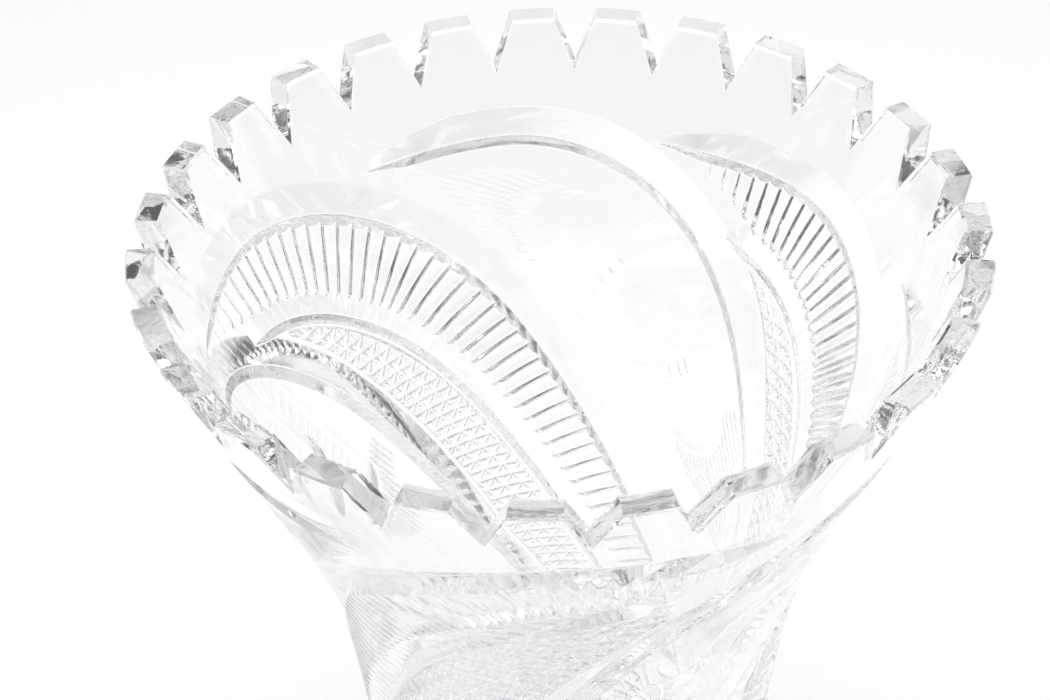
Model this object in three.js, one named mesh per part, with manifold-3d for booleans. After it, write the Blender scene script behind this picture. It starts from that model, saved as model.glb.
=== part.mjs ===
// A cut crystal vase. Millimetres, +Z up, origin at the centre of the face that it rests on.
//
// Two pieces of glass: the body, blown and then cut on the wheel, and the foot, a separate
// gather of glass that is pressed onto the body's base while both are hot.
import * as THREE from 'three';
import { mergeVertices } from 'three/addons/utils/BufferGeometryUtils.js';
import Module from 'manifold-3d';

// ---- Driving dimensions -------------------------------------------------------------------

// Overall
const height = 250;
const rimRadius = 75;

// Foot
const footRadius = 46;
const footEdgeHeight = 4;        // the upright edge of the disc
const footHeight = 20;           // where the body is joined on
const neckRadius = 29;           // radius of that joint
const restRingWidth = 9;         // flat ground ring that the vase stands on
const footRecess = 2;            // how far the middle of the underside is ground back
const starPoints = 24;           // mitre cuts of the star under the foot
const starDepth = 1.4;
const starHalfWidth = 1.5;
const jointGap = 0.3;

// Body
const shoulderHeight = 14;       // the round shoulder over the neck
const lowerRadius = 35;
const taperTop = 125;            // height at which the flare begins
const taperRadius = 40;
const flareSlope = 0.385;        // outward run per unit of height at the rim
const flareStart = 68.3;         // reach of the flare curve's lower handle
const flareEnd = 58.4;           // reach of its upper handle
const rimWall = 5;
const lowerWall = 7;
const floorThickness = 24;
const floorRadius = 14;          // round between the floor and the wall, inside

// Rim teeth
const teeth = 27;
const notchDepth = 9.5;
const notchWidth = 9;            // across the top of a notch

// Swirl cuts. Each arch rises out of the one before it and then sweeps down round the body.
// Per arch: angle of its apex, drop of the apex below the rim, and drop per square degree on its
// long side. Every other arch has a second cut below it, lower by the fourth number.
const arches = [
  [163, 20.5, 0.0094, 13.2],
  [101, 22.8, 0.0099],
  [46, 23.3, 0.0099, 14.1],
  [-18, 22, 0.0097],
  [-83, 22, 0.0097, 13.6],
  [-148, 22, 0.0097],
];
const archRise = 0.0008;         // drop per square degree on the short side
const archRun = 65;              // degrees over which the arch keeps curving
const archBack = 28;             // length of the short side, in degrees
const innerShift = 14;           // an inner arc's apex, back round the body in degrees
const innerBack = 11;            // length of its short side
const mitreDepth = 2;
const mitreAbove = 5.5;          // width of the leaning cut's gentle flank, above its line
const mitreBelow = 2;            // and of its steep flank, below
const mitreEnd = 46;             // height at which the swirls run out

// Round polished prints under each plain arch
const printBall = 24;            // radius of the wheel's face
// Per print: degrees from the apex, drop below the rim, depth of the cut.
const printSteps = [[-13.7, 42.1, 1.7], [-31.9, 58.6, 1.6], [-50.1, 73.6, 1.2]];

// How finely round shapes are divided
const roundSteps = teeth * 2;
const curveSteps = 8;
const swirlStep = 6;             // degrees

// ---- Helpers ------------------------------------------------------------------------------

const wasm = await Module();
wasm.setup();

function toSolid(geometry) {
  geometry.deleteAttribute('normal');
  geometry.deleteAttribute('uv');
  const merged = mergeVertices(geometry, 1e-4);
  const index = merged.index.array;
  const triangles = [];
  for (let i = 0; i < index.length; i += 3) {
    const [a, b, c] = [index[i], index[i + 1], index[i + 2]];
    if (a !== b && b !== c && c !== a) triangles.push(a, b, c);
  }
  return new wasm.Manifold(new wasm.Mesh({
    numProp: 3,
    vertProperties: new Float32Array(merged.attributes.position.array),
    triVerts: new Uint32Array(triangles),
  }));
}

function toGeometry(solid) {
  const mesh = solid.getMesh();
  const geometry = new THREE.BufferGeometry();
  const positions = new Float32Array(mesh.numVert * 3);
  for (let i = 0; i < mesh.numVert; i++) {
    for (let k = 0; k < 3; k++) positions[i * 3 + k] = mesh.vertProperties[i * mesh.numProp + k];
  }
  geometry.setAttribute('position', new THREE.BufferAttribute(positions, 3));
  geometry.setIndex(new THREE.BufferAttribute(new Uint32Array(mesh.triVerts), 1));
  geometry.computeVertexNormals();
  return geometry;
}

// A turned solid about Z. The profile runs from the axis, out, up and back to the axis.
function turned(profile) {
  const geometry = new THREE.LatheGeometry(profile, roundSteps);
  geometry.rotateX(Math.PI / 2);
  return toSolid(geometry);
}

// A quarter of an ellipse from one point to another, leaving the first along the radius.
function quarter(from, to, steps) {
  const points = [];
  for (let i = 1; i <= steps; i++) {
    const turn = (i / steps) * Math.PI / 2;
    points.push(new THREE.Vector2(
      from.x + (to.x - from.x) * Math.sin(turn),
      from.y + (to.y - from.y) * (1 - Math.cos(turn)),
    ));
  }
  return points;
}

// ---- Body blank ---------------------------------------------------------------------------

const bodyBottom = footHeight + jointGap;
const shoulderTop = bodyBottom + shoulderHeight;
const taperSlope = (taperRadius - lowerRadius) / (taperTop - shoulderTop);

// The flare, drawn outside and inside with the same handles.
function flare(lowRadius, topRadius) {
  return new THREE.CubicBezierCurve(
    new THREE.Vector2(lowRadius, taperTop),
    new THREE.Vector2(lowRadius + taperSlope * flareStart, taperTop + flareStart),
    new THREE.Vector2(topRadius - flareSlope * flareEnd, height - flareEnd),
    new THREE.Vector2(topRadius, height),
  );
}

const outerFlare = flare(taperRadius, rimRadius).getPoints(curveSteps);
const innerFlare = flare(taperRadius - lowerWall, rimRadius - rimWall).getPoints(curveSteps);
const neck = new THREE.Vector2(neckRadius, bodyBottom);
const shoulder = new THREE.Vector2(lowerRadius, shoulderTop);
const outerProfile = [neck, ...quarter(neck, shoulder, 4), ...outerFlare];

const floorTop = bodyBottom + floorThickness;
const wallFoot = new THREE.Vector2(
  lowerRadius - lowerWall + taperSlope * Math.max(0, floorTop + floorRadius - shoulderTop),
  floorTop + floorRadius,
);
const floorEdge = new THREE.Vector2(wallFoot.x - floorRadius, floorTop);
const innerProfile = [floorEdge, ...quarter(floorEdge, wallFoot, 4), ...innerFlare].reverse();

const blank = turned([
  new THREE.Vector2(0, bodyBottom),
  ...outerProfile,
  ...innerProfile,
  new THREE.Vector2(0, floorTop),
]);

// Radius of the outside at a height, and its outward slope there.
function outsideAt(z) {
  let i = 1;
  while (i < outerProfile.length - 1 && outerProfile[i].y < z) i++;
  const [low, high] = [outerProfile[i - 1], outerProfile[i]];
  const slope = (high.x - low.x) / (high.y - low.y);
  return { radius: low.x + slope * (z - low.y), slope };
}

// ---- Cuts in the body ---------------------------------------------------------------------

// V notches across the rim, one between each tooth and the next.
function rimNotches() {
  const clear = 4;
  const reach = 2 * rimWall + notchDepth * flareSlope;
  const topHalf = (notchWidth / 2) * (1 + clear / notchDepth);
  const vee = new THREE.Shape([
    new THREE.Vector2(0, -notchDepth),
    new THREE.Vector2(topHalf, clear),
    new THREE.Vector2(-topHalf, clear),
  ]);
  const wedge = new THREE.ExtrudeGeometry(vee, { depth: 2 * reach, bevelEnabled: false });
  const up = new THREE.Vector3(0, 0, 1);
  const cutters = [];
  for (let i = 0; i < teeth; i++) {
    const angle = ((i + 0.5) / teeth) * 2 * Math.PI;
    const radial = new THREE.Vector3(Math.cos(angle), Math.sin(angle), 0);
    const across = new THREE.Vector3().crossVectors(up, radial);
    const place = new THREE.Matrix4().makeBasis(across, up, radial);
    place.setPosition(radial.clone().multiplyScalar(rimRadius - reach).setZ(height));
    cutters.push(toSolid(wedge.clone().applyMatrix4(place)));
  }
  return cutters;
}

// How far an arch cut has fallen from its apex, at an angle measured from the apex.
function archFall(angle, curve) {
  if (angle > 0) return archRise * angle * angle;
  if (angle > -archRun) return curve * angle * angle;
  return curve * archRun * archRun - 2 * curve * archRun * (angle + archRun);
}

// A point on the outside of the body with its outward direction.
function onBody(degrees, drop) {
  const z = height - drop;
  const { radius, slope } = outsideAt(z);
  const angle = THREE.MathUtils.degToRad(degrees);
  const out = new THREE.Vector3(Math.cos(angle), Math.sin(angle), -slope).normalize();
  return { point: new THREE.Vector3(radius * Math.cos(angle), radius * Math.sin(angle), z), out };
}

// A leaning V groove along a path of {point, out} that runs clockwise, seen from above. It rises
// out of the glass at both ends.
function mitre(path) {
  const lift = 1;
  const positions = [];
  path.forEach(({ point, out }, i) => {
    const before = path[Math.max(0, i - 1)].point;
    const after = path[Math.min(path.length - 1, i + 1)].point;
    const along = new THREE.Vector3().subVectors(after, before).normalize();
    const side = new THREE.Vector3().crossVectors(out, along).normalize();
    const ends = Math.min(1, (Math.min(i, path.length - 1 - i) + 0.3) / 2);
    const depth = mitreDepth * ends;
    const widen = (depth + lift) / mitreDepth;
    const top = point.clone().addScaledVector(out, lift);
    positions.push(point.clone().addScaledVector(out, -depth));
    positions.push(top.clone().addScaledVector(side, mitreBelow * widen));
    positions.push(top.clone().addScaledVector(side, -mitreAbove * widen));
  });
  const index = [0, 2, 1];
  for (let i = 0; i < path.length - 1; i++) {
    for (let k = 0; k < 3; k++) {
      const [a, b] = [i * 3 + k, i * 3 + (k + 1) % 3];
      index.push(a, b, b + 3, a, b + 3, a + 3);
    }
  }
  const last = (path.length - 1) * 3;
  index.push(last, last + 1, last + 2);
  const geometry = new THREE.BufferGeometry().setFromPoints(positions);
  geometry.setIndex(index);
  return toSolid(geometry);
}

// A swirl whose apex is at an angle and a drop, from its short side's end down to mitreEnd.
function swirl(apex, apexDrop, curve, back) {
  const path = [];
  for (let angle = back; ; angle -= swirlStep) {
    const drop = apexDrop + archFall(angle, curve);
    if (height - drop < mitreEnd) break;
    path.push(onBody(apex + angle, drop));
  }
  return mitre(path);
}

function swirlCuts() {
  const cutters = [];
  arches.forEach(([apex, drop, curve, innerDrop]) => {
    cutters.push(swirl(apex, drop, curve, archBack));
    // An arch that frames a band of flutes is closed below by a second cut.
    if (innerDrop) {
      cutters.push(swirl(apex + innerShift, drop + innerDrop, curve, innerBack - innerShift));
    }
  });
  return cutters;
}

function prints() {
  const cutters = [];
  arches.filter(([, , , innerDrop]) => !innerDrop).forEach(([apex]) => {
    printSteps.forEach(([angle, drop, depth]) => {
      const { point, out } = onBody(apex + angle, drop);
      const centre = point.addScaledVector(out, printBall - depth);
      const ball = new THREE.SphereGeometry(printBall, 48, 32);
      cutters.push(toSolid(ball.translate(centre.x, centre.y, centre.z)));
    });
  });
  return cutters;
}

const cuts = [...rimNotches(), ...swirlCuts(), ...prints()];
const bodySolid = cuts.reduce((solid, cutter) => solid.subtract(cutter), blank);

// ---- Foot ---------------------------------------------------------------------------------

const recessRadius = footRadius - 1 - restRingWidth;
const footTop = new THREE.Vector2(neckRadius, footHeight);
const footEdge = new THREE.Vector2(footRadius, footEdgeHeight);
const footBlank = turned([
  new THREE.Vector2(0, footRecess),
  new THREE.Vector2(recessRadius - footRecess, footRecess),
  new THREE.Vector2(recessRadius, 0),
  new THREE.Vector2(footRadius - 1, 0),
  new THREE.Vector2(footRadius, 1),
  footEdge,
  ...quarter(footEdge, footTop, 6),
  new THREE.Vector2(0, footHeight),
]);

// Mitre cuts of the star, from the middle of the underside out to the resting ring.
function starCuts() {
  const inner = starHalfWidth;
  const outer = recessRadius - footRecess - 1;
  const middle = (inner + outer) / 2;
  const below = 1;
  const half = starHalfWidth * (starDepth + below) / starDepth;
  const cutters = [];
  for (let i = 0; i < starPoints; i++) {
    const geometry = new THREE.BufferGeometry().setFromPoints([
      new THREE.Vector3(inner, 0, footRecess - below / 2),
      new THREE.Vector3(middle, 0, footRecess + starDepth),
      new THREE.Vector3(middle, half, footRecess - below),
      new THREE.Vector3(middle, -half, footRecess - below),
      new THREE.Vector3(outer, 0, footRecess - below / 2),
    ]);
    geometry.setIndex([0, 1, 2, 0, 3, 1, 0, 2, 3, 4, 2, 1, 4, 1, 3, 4, 3, 2]);
    geometry.rotateZ((i / starPoints) * 2 * Math.PI);
    cutters.push(toSolid(geometry));
  }
  return cutters;
}

const footSolid = starCuts().reduce((solid, cutter) => solid.subtract(cutter), footBlank);

// ---- Assembly -----------------------------------------------------------------------------

function glass(color) {
  return new THREE.MeshStandardMaterial({
    color, roughness: 0.03, metalness: 0, transparent: true, opacity: 0.35,
  });
}

function piece(name, solid, color) {
  const mesh = new THREE.Mesh(toGeometry(solid), glass(color));
  mesh.name = name;
  return mesh;
}

const vase = new THREE.Group();
vase.add(piece('body', bodySolid, 0xf4f5f5));
vase.add(piece('foot', footSolid, 0xeff0f0));

export default vase;
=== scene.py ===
import math

import bpy
import numpy as np
from mathutils import Matrix, Vector


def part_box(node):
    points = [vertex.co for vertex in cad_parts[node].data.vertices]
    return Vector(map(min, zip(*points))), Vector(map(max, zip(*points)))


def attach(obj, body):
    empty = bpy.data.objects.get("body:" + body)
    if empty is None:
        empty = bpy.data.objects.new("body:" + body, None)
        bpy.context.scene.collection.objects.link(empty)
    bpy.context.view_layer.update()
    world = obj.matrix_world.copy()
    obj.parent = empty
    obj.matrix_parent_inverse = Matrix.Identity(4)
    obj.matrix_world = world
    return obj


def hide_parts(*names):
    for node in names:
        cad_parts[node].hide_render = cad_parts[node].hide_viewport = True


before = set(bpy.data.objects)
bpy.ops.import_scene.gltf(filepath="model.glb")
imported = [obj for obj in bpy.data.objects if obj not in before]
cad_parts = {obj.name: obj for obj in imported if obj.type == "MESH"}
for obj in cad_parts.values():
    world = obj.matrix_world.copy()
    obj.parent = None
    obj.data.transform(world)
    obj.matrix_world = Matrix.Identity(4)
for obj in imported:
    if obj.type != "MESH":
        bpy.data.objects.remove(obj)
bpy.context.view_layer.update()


# ---- Camera ---------------------------------------------------------------------------------
# A portrait lens, held above the mouth and looking down into it, with a slight tilt. Its place is
# given from the middle of the mouth, in mouth radii, because the mouth is what it frames.

body_low, body_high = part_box("body")
foot_low, foot_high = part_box("foot")
mouth_radius = min(-body_low.x, body_high.x, -body_low.y, body_high.y)
rim_z = body_high.z

camera_back = 4.3262
camera_up = 3.0848
camera_pan = 0.0200
camera_pitch = 0.6732
camera_roll = 0.0337
lens_mm = 78.6

camera = bpy.data.objects.new("camera", bpy.data.cameras.new("camera"))
bpy.context.scene.collection.objects.link(camera)
forward = Vector((-math.sin(camera_pan) * math.cos(camera_pitch),
                  math.cos(camera_pan) * math.cos(camera_pitch),
                  -math.sin(camera_pitch)))
level_right = Vector((math.cos(camera_pan), math.sin(camera_pan), 0))
level_up = level_right.cross(forward)
right = math.cos(camera_roll) * level_right - math.sin(camera_roll) * level_up
up = math.sin(camera_roll) * level_right + math.cos(camera_roll) * level_up
camera.matrix_world = Matrix((right, up, -forward)).transposed().to_4x4()
camera.location = (0, -camera_back * mouth_radius, rim_z + camera_up * mouth_radius)
camera.data.lens = lens_mm
camera.data.sensor_width = 36
camera.data.clip_start = 0.01
bpy.context.scene.camera = camera


# ---- Body: the blown wall -------------------------------------------------------------------
# One thick gather of lead crystal, blown into a flared mould: a solid base, a tapering barrel and
# a mouth that opens like a trumpet. The inside is left as blown; all the cutting is outside.
# Sizes are in millimetres until the mesh is made.

mm = 0.001
height = rim_z / mm
rim_radius = mouth_radius / mm
neck_radius = 29
joint_z = (foot_high.z + body_low.z) / 2 / mm
shoulder_height = 14
lower_radius = 35
taper_top = 125
taper_radius = 40
flare_slope = 0.385
flare_start = 68.3
flare_end = 58.4
rim_wall = 5
lower_wall = 7
floor_thickness = 24
floor_round = 14

shoulder_z = body_low.z / mm + shoulder_height
taper_slope = (taper_radius - lower_radius) / (taper_top - shoulder_z)


def flare(low_radius, top_radius, points=160):
    """The trumpet curve, as (radius, height), from the top of the barrel to the rim."""
    handles = np.array([(low_radius, taper_top),
                        (low_radius + taper_slope * flare_start, taper_top + flare_start),
                        (top_radius - flare_slope * flare_end, height - flare_end),
                        (top_radius, height)])
    t = np.linspace(0, 1, points)[:, None]
    weights = np.hstack([(1 - t) ** 3, 3 * t * (1 - t) ** 2, 3 * t ** 2 * (1 - t), t ** 3])
    return weights @ handles


def quarter(start, end, points):
    """A quarter of an ellipse that leaves start along the radius and arrives upright."""
    turn = np.linspace(0, math.pi / 2, points)
    return np.column_stack([start[0] + (end[0] - start[0]) * np.sin(turn),
                            start[1] + (end[1] - start[1]) * (1 - np.cos(turn))])


outer_curve = np.vstack([quarter((neck_radius, joint_z), (lower_radius, shoulder_z), 40)[:-1],
                         (lower_radius, shoulder_z),
                         flare(taper_radius, rim_radius)])
floor_z = body_low.z / mm + floor_thickness
wall_foot_z = floor_z + floor_round
wall_foot_radius = lower_radius - lower_wall + taper_slope * (wall_foot_z - shoulder_z)
inner_curve = np.vstack([quarter((wall_foot_radius - floor_round, floor_z),
                                 (wall_foot_radius, wall_foot_z), 24),
                         flare(taper_radius - lower_wall, rim_radius - rim_wall)])


def outer_radius(z):
    return np.interp(z, outer_curve[:, 1], outer_curve[:, 0])


def inner_radius(z):
    return np.interp(z, inner_curve[:, 1], inner_curve[:, 0])


def outer_slope(z):
    """Outward run per unit of height on the outside."""
    reach = 1.5
    return (outer_radius(z + reach) - outer_radius(z - reach)) / (2 * reach)


# The wall is worked out on a fine grid: columns round it, in degrees, and rows up it. Slant is
# the distance up the outside, so a cut keeps its width where the mouth flares.
teeth = 27
columns_per_tooth = 60
columns = teeth * columns_per_tooth
column_step = 360 / columns
column_degrees = np.arange(columns) * column_step

slant_curve = np.concatenate([[0], np.cumsum(np.hypot(*np.diff(outer_curve, axis=0).T))])
cut_bottom = 40
cut_top = height - 12
row_step = 0.235


def slant_at(z):
    return np.interp(z, outer_curve[:, 1], slant_curve)


row_slant = np.arange(slant_at(cut_bottom), slant_at(cut_top), row_step)
row_z = np.interp(row_slant, slant_curve, outer_curve[:, 1])
row_radius = outer_radius(row_z)
cut_depth = np.zeros((len(row_z), columns))


# ---- Body: the swirl mitres -----------------------------------------------------------------
# Six long cuts, each an arch near the rim that sweeps down round the wall. The cutter leans the
# wheel, so a cut is a wide gentle bevel above and a narrow steep wall below. Every other arch
# frames a fluted band, which a second cut of the same kind closes.

# Each arch: angle of its top, drop of the cut's bottom below the rim there, and how it falls away.
arches = [(163, 20.5, 0.0094), (101, 22.8, 0.0099), (46, 23.3, 0.0099),
          (-18, 22.0, 0.0097), (-83, 22.0, 0.0097), (-148, 22.0, 0.0097)]
fluted_arches = (0, 2, 4)
arch_rise = 0.0008
arch_run = 65
inner_shift = 14
inner_drops = {0: 13.2, 2: 14.1, 4: 13.6}
# The cuts run out over a height at the bottom of the wall, and fade in past an arch's top.
swirl_end = 44
run_out_height = 14
arch_start = (-28, -15)
inner_start = (-11, -3)
steepest_rise = 3

mitre_depth = 2.5
steep_width = 2.35
bevel_width = 5.5
inner_depth = 2.0
inner_steep_width = 2.0
inner_bevel_width = 5.0
inner_bevel_swell = 0.8
# An arch's bevel swells a little on the long side, and tapers to nothing on the short side.
bevel_swell = 0.65
bevel_swell_run = 20
bevel_taper_end = 33
bevel_taper_run = 25
# Angles between which it narrows again as it runs down the barrel, and to what share.
barrel_angles = (-100, -60)
barrel_shares = (0.5, 1)


def from_apex(k):
    """Degrees from the top of arch k to each column: positive on its short side."""
    return (column_degrees - arches[k][0] + 270) % 360 - 270


def swirl_drop(k, angle, inner=False):
    """How far below the rim the bottom of swirl k runs, at an angle from the arch's top."""
    shift, lower = (inner_shift, inner_drops[k]) if inner else (0, 0)
    top, curve = arches[k][1:]
    angle = angle - shift
    run = np.clip(-angle, 0, arch_run)
    beyond = np.clip(-angle - arch_run, 0, None)
    back = np.clip(angle, 0, None)
    return (top + lower + curve * run ** 2 + 2 * curve * arch_run * beyond
            + arch_rise * back ** 2)


def above_swirl(k, inner=False):
    """Distance of every grid point above a swirl's bottom line, in mm along the wall."""
    line_slant = slant_at(height - swirl_drop(k, from_apex(k), inner))
    rise = np.clip(np.gradient(line_slant, column_step), -steepest_rise, steepest_rise)
    steepness = rise[None, :] / (row_radius[:, None] * math.pi / 180)
    return (row_slant[:, None] - line_slant[None, :]) / np.sqrt(1 + steepness ** 2)


def ramp(value, start, end):
    """0 before start, 1 after end, and smooth between."""
    t = np.clip((value - start) / (end - start), 0, 1)
    return t * t * (3 - 2 * t)


def leaning_cut(distance, bevel, steep, depth):
    """A V with one wide flank above its bottom line and one narrow flank below it."""
    above = 1 - distance / (bevel + 1e-6)
    below = 1 + distance / (steep + 1e-6)
    return depth * np.clip(np.minimum(above, below), 0, None)


def arch_bevel(k):
    """Width of an arch's bevel, column by column."""
    angle = from_apex(k)
    return ((bevel_width + bevel_swell * np.clip(-angle / bevel_swell_run, 0, 1))
            * np.clip((bevel_taper_end - angle) / bevel_taper_run, 0.05, 1)
            * np.interp(angle, barrel_angles, barrel_shares))


run_out = ramp(row_z, swirl_end, swirl_end + run_out_height)[:, None]
arch_distance = [above_swirl(k) for k in range(len(arches))]
inner_distance = {k: above_swirl(k, inner=True) for k in fluted_arches}
for k, distance in enumerate(arch_distance):
    strength = ramp(-from_apex(k), *arch_start) * run_out
    cut = leaning_cut(distance, arch_bevel(k) * run_out, steep_width * strength,
                      mitre_depth * strength)
    cut_depth = np.maximum(cut_depth, cut)
for k, distance in inner_distance.items():
    strength = ramp(-from_apex(k), *inner_start) * run_out
    bevel = inner_bevel_width + inner_bevel_swell * np.clip(-from_apex(k) / 60, 0, 1)
    cut = leaning_cut(distance, bevel * strength, inner_steep_width * strength,
                      inner_depth * strength)
    cut_depth = np.maximum(cut_depth, cut)


# ---- Body: the star diamonds ----------------------------------------------------------------
# Below each fluted band the wall is crossed four ways: level rows, upright lines and both
# diagonals, which meet in eight-pointed stars. Each way is a shallow V wheel, rows the widest.

star_row = 2.67         # mm up the wall
star_column = 2.87      # degrees
star_angle = -43        # one star's place, from the arch's top
star_z = height - 78.2
stars_from = 10         # degrees past the arch's top where the field begins
# Plain glass left between the field and the mitres above and below it.
margin_above = 0.5
margin_below = 0.7
# Half width and depth of each V.
row_vee = (1.05, 0.78)
upright_vee = (0.70, 0.45)
diagonal_vee = (0.90, 0.66)


def vee(offset, half_width, depth):
    return depth * np.clip(1 - np.abs(offset) / half_width, 0, None)


def to_nearest(value, period):
    return (value + period / 2) % period - period / 2


for k in fluted_arches:
    below_inner = -inner_distance[k] - inner_steep_width - margin_above
    above_next = arch_distance[k - 1] - arch_bevel(k - 1) - margin_below
    across = (from_apex(k)[None, :] - star_angle) / star_column
    up_wall = (row_slant[:, None] - slant_at(star_z)) / star_row
    column_mm = star_column * math.pi / 180 * row_radius[:, None]
    diagonal_mm = 1 / np.hypot(1 / column_mm, 1 / star_row)
    cut = vee(to_nearest(up_wall, 1) * star_row, *row_vee)
    cut = np.maximum(cut, vee(to_nearest(across, 1) * column_mm, *upright_vee))
    for turn in (1, -1):
        cut = np.maximum(cut, vee(to_nearest(up_wall + turn * across, 2) * diagonal_mm,
                                  *diagonal_vee))
    past_start = np.clip(stars_from - from_apex(k), 0, None)[None, :]
    edge = np.clip(np.minimum(np.minimum(below_inner, above_next), past_start), 0, None)
    cut_depth = np.maximum(cut_depth, np.minimum(cut, edge) * run_out)


# ---- Body: flutes, prints and fans ----------------------------------------------------------
# Small cuts made one at a time. Flutes are V cuts from each ladder arch in to its second mitre,
# wider as they go. Each plain arch holds a chain of three round polished prints, with three
# short strokes from one to the next and a fan of fine parallel lines at each end of the chain.

def near(degrees, z, reach):
    """The grid points near a place on the wall: rows, columns, and mm round and up from it."""
    slant = slant_at(z)
    rows = slice(*np.searchsorted(row_slant, (slant - reach, slant + reach)))
    half = int(reach / (row_radius[rows].min() * math.radians(column_step))) + 1
    middle = round(degrees / column_step)
    offsets = np.arange(middle - half, middle + half + 1)
    round_wall = np.radians(offsets * column_step - degrees) * row_radius[rows][:, None]
    return rows, offsets % columns, round_wall, (row_slant[rows] - slant)[:, None]


def stamp(rows, cols, cut):
    index = np.arange(rows.start, rows.stop)[:, None]
    cut_depth[index, cols[None, :]] = np.maximum(cut_depth[index, cols[None, :]], cut)


def step_from(degrees, z, x, y):
    """The place x mm round and y mm up the wall from another, as degrees and height."""
    slant = slant_at(z) + y
    return (degrees + math.degrees(x / float(outer_radius(z))),
            float(np.interp(slant, slant_curve, outer_curve[:, 1])))


def along_and_across(degrees, z, heading, reach):
    """Grid points near a place, measured along and across a heading: 0 round, 90 up."""
    rows, cols, x, y = near(degrees, z, reach)
    turn = math.radians(heading)
    return (rows, cols, x * math.cos(turn) + y * math.sin(turn),
            y * math.cos(turn) - x * math.sin(turn))


def flute(degrees, z, heading, length, size):
    """A V cut that starts in the arch's steep wall, widens, and stops short with a round end."""
    rows, cols, along, across = along_and_across(degrees, z, heading, length + 3)
    part = np.clip(along / length, 0, 1)
    half_width = (flute_half[0] + (flute_half[1] - flute_half[0]) * part) * size
    depth = (flute_depths[0] + (flute_depths[1] - flute_depths[0]) * part) * size
    end = np.sqrt(np.clip((length - along) / flute_round, 0, 1))
    cut = depth * end * np.clip(1 - np.abs(across) / (half_width * end + 1e-6), 0, None)
    stamp(rows, cols, np.where(along > -steep_width, cut, 0))


# Half width and depth at the outer end and at the inner end.
flute_half = (1.1, 1.75)
flute_depths = (0.9, 1.5)
flute_round = 1.6
flute_bite = 1.3
flute_stop_z = 52
flute_longest = 26
flute_search_step = 0.4
# The first few flutes are smaller: share of full size and of full length, and gain per flute.
flute_sizes = (0.35, 0.16)
flute_lengths = (0.3, 0.18)
# Per arch: angle of the first flute, pitch against angle, and turn of the lowest ones.
flute_starts = {0: 17, 2: 14.5, 4: 16}
flute_pitches = {0: ((-62, -50, -36), (3.85, 4.55, 4.05)),
                 2: ((0,), (3.47,)),
                 4: ((0,), (3.8,))}
flute_turns = {0: 12, 2: 0, 4: 6}

for k in fluted_arches:
    angle = flute_starts[k]
    count = 0
    while height - swirl_drop(k, angle) > flute_stop_z:
        z = height - swirl_drop(k, angle)
        per_degree = math.radians(float(outer_radius(z)))
        slope = float(slant_at(height - swirl_drop(k, angle - 0.5))
                      - slant_at(height - swirl_drop(k, angle + 0.5)))
        heading = math.degrees(math.atan2(slope, -per_degree)) + 90
        heading += flute_turns[k] * float(ramp(-angle, 36, 50))
        turn = math.radians(heading)
        length = 0.0
        gap = math.inf
        while length < flute_longest and gap > inner_bevel_width - flute_bite:
            length += flute_search_step
            x, y = ((steep_width + length) * f(turn) for f in (math.cos, math.sin))
            tip_angle, tip_z = step_from(angle, z, x, y)
            line = slant_at(height - swirl_drop(k, tip_angle, inner=True))
            gap = float(slant_at(tip_z) - line) / math.hypot(1, slope / per_degree)
        size = min(1.0, flute_sizes[0] + flute_sizes[1] * count)
        length *= min(1.0, flute_lengths[0] + flute_lengths[1] * count)
        start = step_from(arches[k][0] + angle, z, steep_width * math.cos(turn),
                          steep_width * math.sin(turn))
        flute(*start, heading, length, size)
        angle -= float(np.interp(angle, *flute_pitches[k])) / math.hypot(per_degree, slope)
        count += 1

# Prints: angle from the arch's top, drop below the rim, radius, depth.
prints = [(-13.7, 42.1, 9.1, 1.1), (-31.9, 58.6, 8.9, 1.1), (-50.1, 73.6, 7.5, 0.9)]
fine_half_width = 0.38
fine_depth = 0.38
# Strokes: angle from the arch's top, drop, heading and length.
strokes = [(-24.9, 46.8, -133, 3.9),
           (-22.6, 48.7, -133, 4.5),
           (-20.3, 50.6, -133, 5.1),
           (-40.3, 66.2, -115, 3.5),
           (-42.7, 65.0, -118, 4.1),
           (-44.4, 64.0, -120, 4.6)]
# Fans: heading, pitch, lines to either side of the middle one, length there and how fast it falls.
fan_swell = 0.2
first_fan_heading = 23.6
first_fan_pitch = 1.1
first_fan_shift = 2.7
first_fan_lines = range(-10, 6)
first_fan_length = 28
first_fan_fall = 8
last_fan_heading = 236
last_fan_pitch = 0.78
last_fan_spread = 1.6   # the pitch on one side is this much wider
last_fan_gain = 0.08    # and each line there is this much deeper
last_fan_lines = range(-9, 10)
last_fan_length = 26
last_fan_fall = 9


def fine_line(degrees, z, heading, length, swell=0.5, depth=fine_depth):
    """A hair-fine V cut, pointed at both ends. It is full where swell of its length is done."""
    rows, cols, along, across = along_and_across(degrees, z, heading, length + 1)
    part = np.clip(along / length, 0, 1)
    size = np.minimum(part / swell, (1 - part) / (1 - swell)) ** 0.5
    stamp(rows, cols, depth * size * np.clip(1 - np.abs(across) / (fine_half_width * size + 1e-6),
                                             0, None))


def beside_print(degrees, z, radius, heading, side):
    """The place just off a print's edge, a given distance to one side of a heading."""
    turn = math.radians(heading)
    out = math.sqrt(max(0.0, radius ** 2 - side ** 2)) + 0.4
    return step_from(degrees, z, out * math.cos(turn) - side * math.sin(turn),
                     out * math.sin(turn) + side * math.cos(turn))


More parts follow.
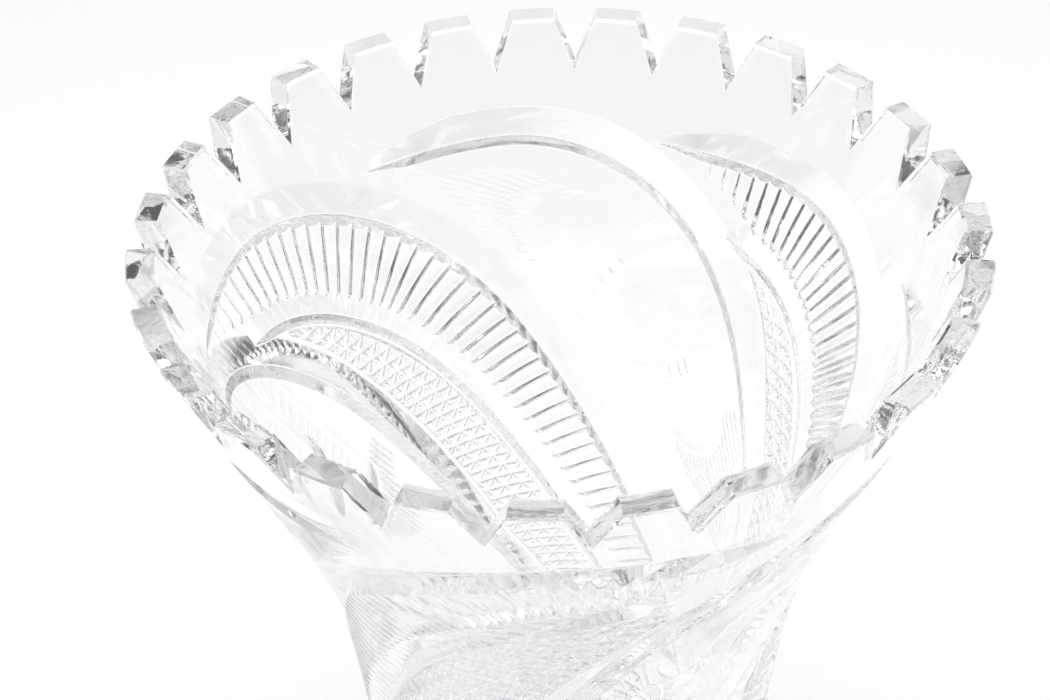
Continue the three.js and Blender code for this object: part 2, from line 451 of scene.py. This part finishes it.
for k in range(1, len(arches), 2):
    places = [(arches[k][0] + angle, height - drop, radius, depth)
              for angle, drop, radius, depth in prints]
    for degrees, z, radius, depth in places:
        rows, cols, x, y = near(degrees, z, radius + 1)
        stamp(rows, cols, depth * np.clip(1 - (x ** 2 + y ** 2) / radius ** 2, 0, None))
    degrees, z, radius, depth = places[0]
    for n in first_fan_lines:
        start = beside_print(degrees, z, radius, first_fan_heading,
                             n * first_fan_pitch + first_fan_shift)
        fine_line(*start, first_fan_heading,
                  first_fan_length * math.exp(-abs(n) / first_fan_fall), swell=fan_swell)
    degrees, z, radius, depth = places[2]
    for n in last_fan_lines:
        heavier = 1 + last_fan_gain * max(0, -n)
        start = beside_print(degrees, z, radius, last_fan_heading,
                             n * last_fan_pitch * (last_fan_spread if n < 0 else 1))
        fine_line(*start, last_fan_heading,
                  last_fan_length * math.exp(-abs(n) / last_fan_fall), swell=fan_swell,
                  depth=fine_depth * heavier)
    for angle, drop, heading, length in strokes:
        turn = math.radians(heading)
        start = step_from(arches[k][0] + angle, height - drop,
                          -length / 2 * math.cos(turn), -length / 2 * math.sin(turn))
        fine_line(*start, heading, length)


# ---- Body: the notched rim, and the mesh ----------------------------------------------------
# The rim is ground flat and then notched right through with a V wheel, which leaves square teeth.
# Every edge of a tooth keeps a small chamfer from the polishing.

notch_depth = 9.5
notch_columns = 15
chamfer = 0.45
shoulder_rows = 22
rim_rows = 12
inner_strip_rows = 7
inside_rows = 60
floor_round_rows = 16
floor_ring_radii = (10, 6, 3, 1)
strip_gap = 0.5
below_notches = 3

from_notch = np.abs(np.arange(columns) % columns_per_tooth - columns_per_tooth / 2)
top_z = height - notch_depth * np.clip(1 - from_notch / notch_columns, 0, None)


class Rings:
    """Rows of points round the axis, from mm to metres, and how ground the glass is at each."""

    def __init__(self, angles):
        self.angles = angles
        self.rows = []
        self.ground = []

    def add(self, radius, z, ground=0.0):
        """Add a row and give its number. Each value may change from column to column."""
        count = len(self.angles)
        radius = np.broadcast_to(radius, (count,))
        self.rows.append(np.column_stack([radius * np.cos(self.angles),
                                          radius * np.sin(self.angles),
                                          np.broadcast_to(z, (count,))]) * mm)
        self.ground.append(np.broadcast_to(ground, (count,)))
        return len(self.rows) - 1


wall = Rings(np.radians(column_degrees))
for radius, z in quarter((neck_radius, joint_z), (lower_radius, shoulder_z), shoulder_rows):
    wall.add(radius, z)
for z in np.linspace(shoulder_z, cut_bottom, 6)[1:-1]:
    wall.add(outer_radius(z), z)
lean = outer_slope(row_z)
normal_out = 1 / np.sqrt(1 + lean ** 2)
for i, z in enumerate(row_z):
    depth = cut_depth[i]
    wall.add(row_radius[i] - depth * normal_out[i], z + depth * lean[i] * normal_out[i],
             ramp(depth, 0.01, 0.08))
strip_start = row_z[-1] + strip_gap
strip_end = top_z - chamfer
for t in np.linspace(0, 1, rim_rows):
    z = strip_start + t * (strip_end - strip_start)
    last_outer = wall.add(outer_radius(z), z)
crisp_rows = [last_outer,
              wall.add(outer_radius(top_z) - chamfer, top_z, 1.0),
              wall.add(inner_radius(top_z) + chamfer, top_z, 1.0),
              wall.add(inner_radius(strip_end), strip_end)]
inner_strip_end = height - notch_depth - below_notches
for t in np.linspace(0, 1, inner_strip_rows)[1:]:
    z = strip_end + t * (inner_strip_end - strip_end)
    wall.add(inner_radius(z), z)
for z in np.linspace(inner_strip_end, wall_foot_z, inside_rows)[1:]:
    wall.add(inner_radius(z), z)
floor_edge_radius = wall_foot_radius - floor_round
floor_round_curve = quarter((floor_edge_radius, floor_z), (wall_foot_radius, wall_foot_z),
                            floor_round_rows)
for radius, z in floor_round_curve[-2::-1]:
    wall.add(radius, z)
for radius in floor_ring_radii:
    wall.add(radius, floor_z)


def lathe_mesh(name, rings, crisp_rows, crisp_columns, centre_z, downwards=False):
    """A mesh from rings of points, closed round, with a centre point after the last ring.

    The rings run up the outside of the glass, or down it where downwards is set.
    """
    count = len(rings.angles)
    row_count = len(rings.rows)
    points = np.vstack(rings.rows)
    mask = np.concatenate(rings.ground)
    row = np.arange(row_count - 1)[:, None] * count
    col = np.arange(count)[None, :]
    after = (col + 1) % count
    quads = np.stack([row + col, row + after, row + count + after, row + count + col], -1)
    quads = quads.reshape(-1, 4)
    last = (row_count - 1) * count + np.arange(count)
    centre_faces = np.column_stack([last, np.roll(last, -1), np.full(count, len(points))])
    if downwards:
        quads, centre_faces = quads[:, ::-1], centre_faces[:, ::-1]
    points = np.vstack([points, (0, 0, centre_z * mm)])
    mask = np.append(mask, 0)
    loops = np.concatenate([quads.ravel(), centre_faces.ravel()])
    sizes = np.repeat((4, 3), (len(quads), count))
    mesh = bpy.data.meshes.new(name)
    mesh.vertices.add(len(points))
    mesh.vertices.foreach_set("co", points.astype(np.float32).ravel())
    mesh.loops.add(len(loops))
    mesh.loops.foreach_set("vertex_index", loops.astype(np.int32))
    mesh.polygons.add(len(sizes))
    starts = np.concatenate([[0], np.cumsum(sizes)[:-1]])
    mesh.polygons.foreach_set("loop_start", starts.astype(np.int32))
    mesh.update(calc_edges=True)
    mesh.polygons.foreach_set("use_smooth", np.ones(len(sizes), bool))
    ends = np.empty(len(mesh.edges) * 2, np.int32)
    mesh.edges.foreach_get("vertices", ends)
    ends = ends.reshape(-1, 2)
    in_row, in_col = ends // count, ends % count
    sharp = (in_row[:, 0] == in_row[:, 1]) & np.isin(in_row[:, 0], crisp_rows)
    if len(crisp_columns):
        low, high = min(crisp_rows), max(crisp_rows)
        sharp |= ((in_col[:, 0] == in_col[:, 1]) & np.isin(in_col[:, 0], crisp_columns)
                  & (in_row.min(1) >= low) & (in_row.max(1) <= high))
    mark = mesh.attributes.new("sharp_edge", "BOOLEAN", "EDGE")
    mark.data.foreach_set("value", sharp)
    ground = mesh.attributes.new("ground", "FLOAT", "POINT")
    ground.data.foreach_set("value", mask.astype(np.float32))
    mesh.validate()
    piece = bpy.data.objects.new(name, mesh)
    bpy.context.scene.collection.objects.link(piece)
    return piece


corner_columns = np.where(np.isin(from_notch, (0, notch_columns)))[0]
body = lathe_mesh("vase_body", wall, crisp_rows, corner_columns, floor_z)


def crystal_glass():
    """Clear lead crystal. Blown glass is smooth with a slow wave; ground faces keep a grain."""
    material = bpy.data.materials.new("lead_crystal")
    material.use_nodes = True
    nodes, links = material.node_tree.nodes, material.node_tree.links
    shader = nodes["Principled BSDF"]
    shader.inputs["Transmission Weight"].default_value = 1.0
    shader.inputs["IOR"].default_value = 1.545
    place = nodes.new("ShaderNodeTexCoord")
    ground = nodes.new("ShaderNodeAttribute")
    ground.attribute_name = "ground"

    grain = nodes.new("ShaderNodeTexNoise")
    grain.inputs["Scale"].default_value = 620
    grain.inputs["Detail"].default_value = 3
    links.new(place.outputs["Object"], grain.inputs["Vector"])
    slow = nodes.new("ShaderNodeTexNoise")
    slow.inputs["Scale"].default_value = 24
    slow.inputs["Detail"].default_value = 1
    links.new(place.outputs["Object"], slow.inputs["Vector"])

    tint = nodes.new("ShaderNodeValToRGB")
    tint.color_ramp.elements[0].color = (0.990, 0.991, 0.991, 1)
    tint.color_ramp.elements[1].color = (0.999, 0.999, 0.999, 1)
    links.new(slow.outputs["Fac"], tint.inputs["Fac"])
    links.new(tint.outputs["Color"], shader.inputs["Base Color"])

    haze = nodes.new("ShaderNodeMath")
    haze.operation = "MULTIPLY"
    links.new(grain.outputs["Fac"], haze.inputs[0])
    links.new(ground.outputs["Fac"], haze.inputs[1])
    rough = nodes.new("ShaderNodeMapRange")
    rough.inputs["To Min"].default_value = 0.0
    rough.inputs["To Max"].default_value = 0.05
    links.new(haze.outputs["Value"], rough.inputs["Value"])
    links.new(rough.outputs["Result"], shader.inputs["Roughness"])

    strength = nodes.new("ShaderNodeMapRange")
    strength.inputs["To Min"].default_value = 0.0
    strength.inputs["To Max"].default_value = 0.15
    links.new(ground.outputs["Fac"], strength.inputs["Value"])
    bump = nodes.new("ShaderNodeBump")
    bump.inputs["Distance"].default_value = 0.0001
    links.new(strength.outputs["Result"], bump.inputs["Strength"])
    links.new(grain.outputs["Fac"], bump.inputs["Height"])
    links.new(bump.outputs["Normal"], shader.inputs["Normal"])
    return material


crystal = crystal_glass()
body.data.materials.append(crystal)
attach(body, "root")
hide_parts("body")


# ---- Foot -----------------------------------------------------------------------------------
# A separate gather, dropped on the base of the body while both are hot and pressed to a disc, so
# the glass runs on without a seam. Cold, it is ground to a flat ring and cut with a star beneath.

foot_radius = min(-foot_low.x, foot_high.x, -foot_low.y, foot_high.y) / mm
foot_edge = 4
rest_ring = 9
recess = 2
star_points = 24
star_depth = 1.4
star_flank = 0.93
columns_per_ray = 30
ring_polish = 0.6
edge_round = 1
edge_top = 1.2
upper_rows = 40
star_rows = 70
recess_radius = foot_radius - edge_round - rest_ring

foot_columns = star_points * columns_per_ray
foot_angles = np.arange(foot_columns) * 2 * math.pi / foot_columns
disc = Rings(foot_angles)
for radius, z in quarter((foot_radius, foot_edge), (neck_radius, joint_z), upper_rows)[::-1]:
    disc.add(radius, z)
disc.add(foot_radius, edge_top)
for turn in np.linspace(0.2, 1, 5) * math.pi / 2:
    disc.add(foot_radius - edge_round + math.cos(turn), edge_round - math.sin(turn))
disc.add(recess_radius + 0.4, 0, ring_polish)
crisp_rows = [disc.add(recess_radius, 0, ring_polish),
              disc.add(recess_radius - recess, recess, 1.0)]
star_outer = recess_radius - recess - 1
star_inner = 1.5
star_middle = (star_outer + star_inner) / 2
from_ray = np.abs(to_nearest(foot_angles, 2 * math.pi / star_points))
for radius in np.linspace(star_outer, star_inner, star_rows):
    depth = star_depth * (1 - abs(radius - star_middle) / (star_outer - star_middle))
    cut = np.clip(depth - from_ray * radius * star_flank, 0, None)
    disc.add(radius, recess + cut, 1.0)
foot = lathe_mesh("vase_foot", disc, crisp_rows, (), recess, downwards=True)
foot.data.materials.append(crystal)
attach(foot, "root")
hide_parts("foot")


# ---- Floor and light ------------------------------------------------------------------------
# A white paper table that runs out of sight, lit by one wide soft light straight overhead.

reach = 12
table_gap = 0.0002
paper_white = (0.93, 0.93, 0.93, 1)
sky_strength = 2.0
lamp_power = 3.5
lamp_height = 0.9

floor_mesh = bpy.data.meshes.new("floor")
floor_mesh.from_pydata([(-reach, -reach, 0), (reach, -reach, 0), (reach, reach, 0),
                        (-reach, reach, 0)], [], [(0, 1, 2, 3)])
floor = bpy.data.objects.new("floor", floor_mesh)
bpy.context.scene.collection.objects.link(floor)
paper = bpy.data.materials.new("white_paper")
paper.use_nodes = True
shader = paper.node_tree.nodes["Principled BSDF"]
shader.inputs["Base Color"].default_value = paper_white
shader.inputs["Roughness"].default_value = 0.9
shader.inputs["Specular IOR Level"].default_value = 0.0
floor_mesh.materials.append(paper)
floor.location.z = -table_gap

world = bpy.data.worlds.new("studio")
bpy.context.scene.world = world
world.use_nodes = True
nodes, links = world.node_tree.nodes, world.node_tree.links
background = nodes["Background"]
place = nodes.new("ShaderNodeTexCoord")
split = nodes.new("ShaderNodeSeparateXYZ")
links.new(place.outputs["Generated"], split.inputs["Vector"])
shade = nodes.new("ShaderNodeMapRange")
shade.interpolation_type = "SMOOTHSTEP"
shade.inputs["From Min"].default_value = 0.6
shade.inputs["From Max"].default_value = 0.98
shade.inputs["To Min"].default_value = 0.06
shade.inputs["To Max"].default_value = 1.0
links.new(split.outputs["Z"], shade.inputs["Value"])
links.new(shade.outputs["Result"], background.inputs["Color"])
background.inputs["Strength"].default_value = sky_strength

softbox = bpy.data.lights.new("softbox", "AREA")
softbox.shape = "DISK"
softbox.size = 1.0
softbox.energy = lamp_power
lamp = bpy.data.objects.new("softbox", softbox)
lamp.location = (0, 0, lamp_height)
bpy.context.scene.collection.objects.link(lamp)

# Light turns back many times inside cut glass, so the paths are let run long.
scene = bpy.context.scene
scene.view_settings.view_transform = "Standard"
scene.cycles.max_bounces = 40
scene.cycles.glossy_bounces = 32
scene.cycles.transmission_bounces = 32
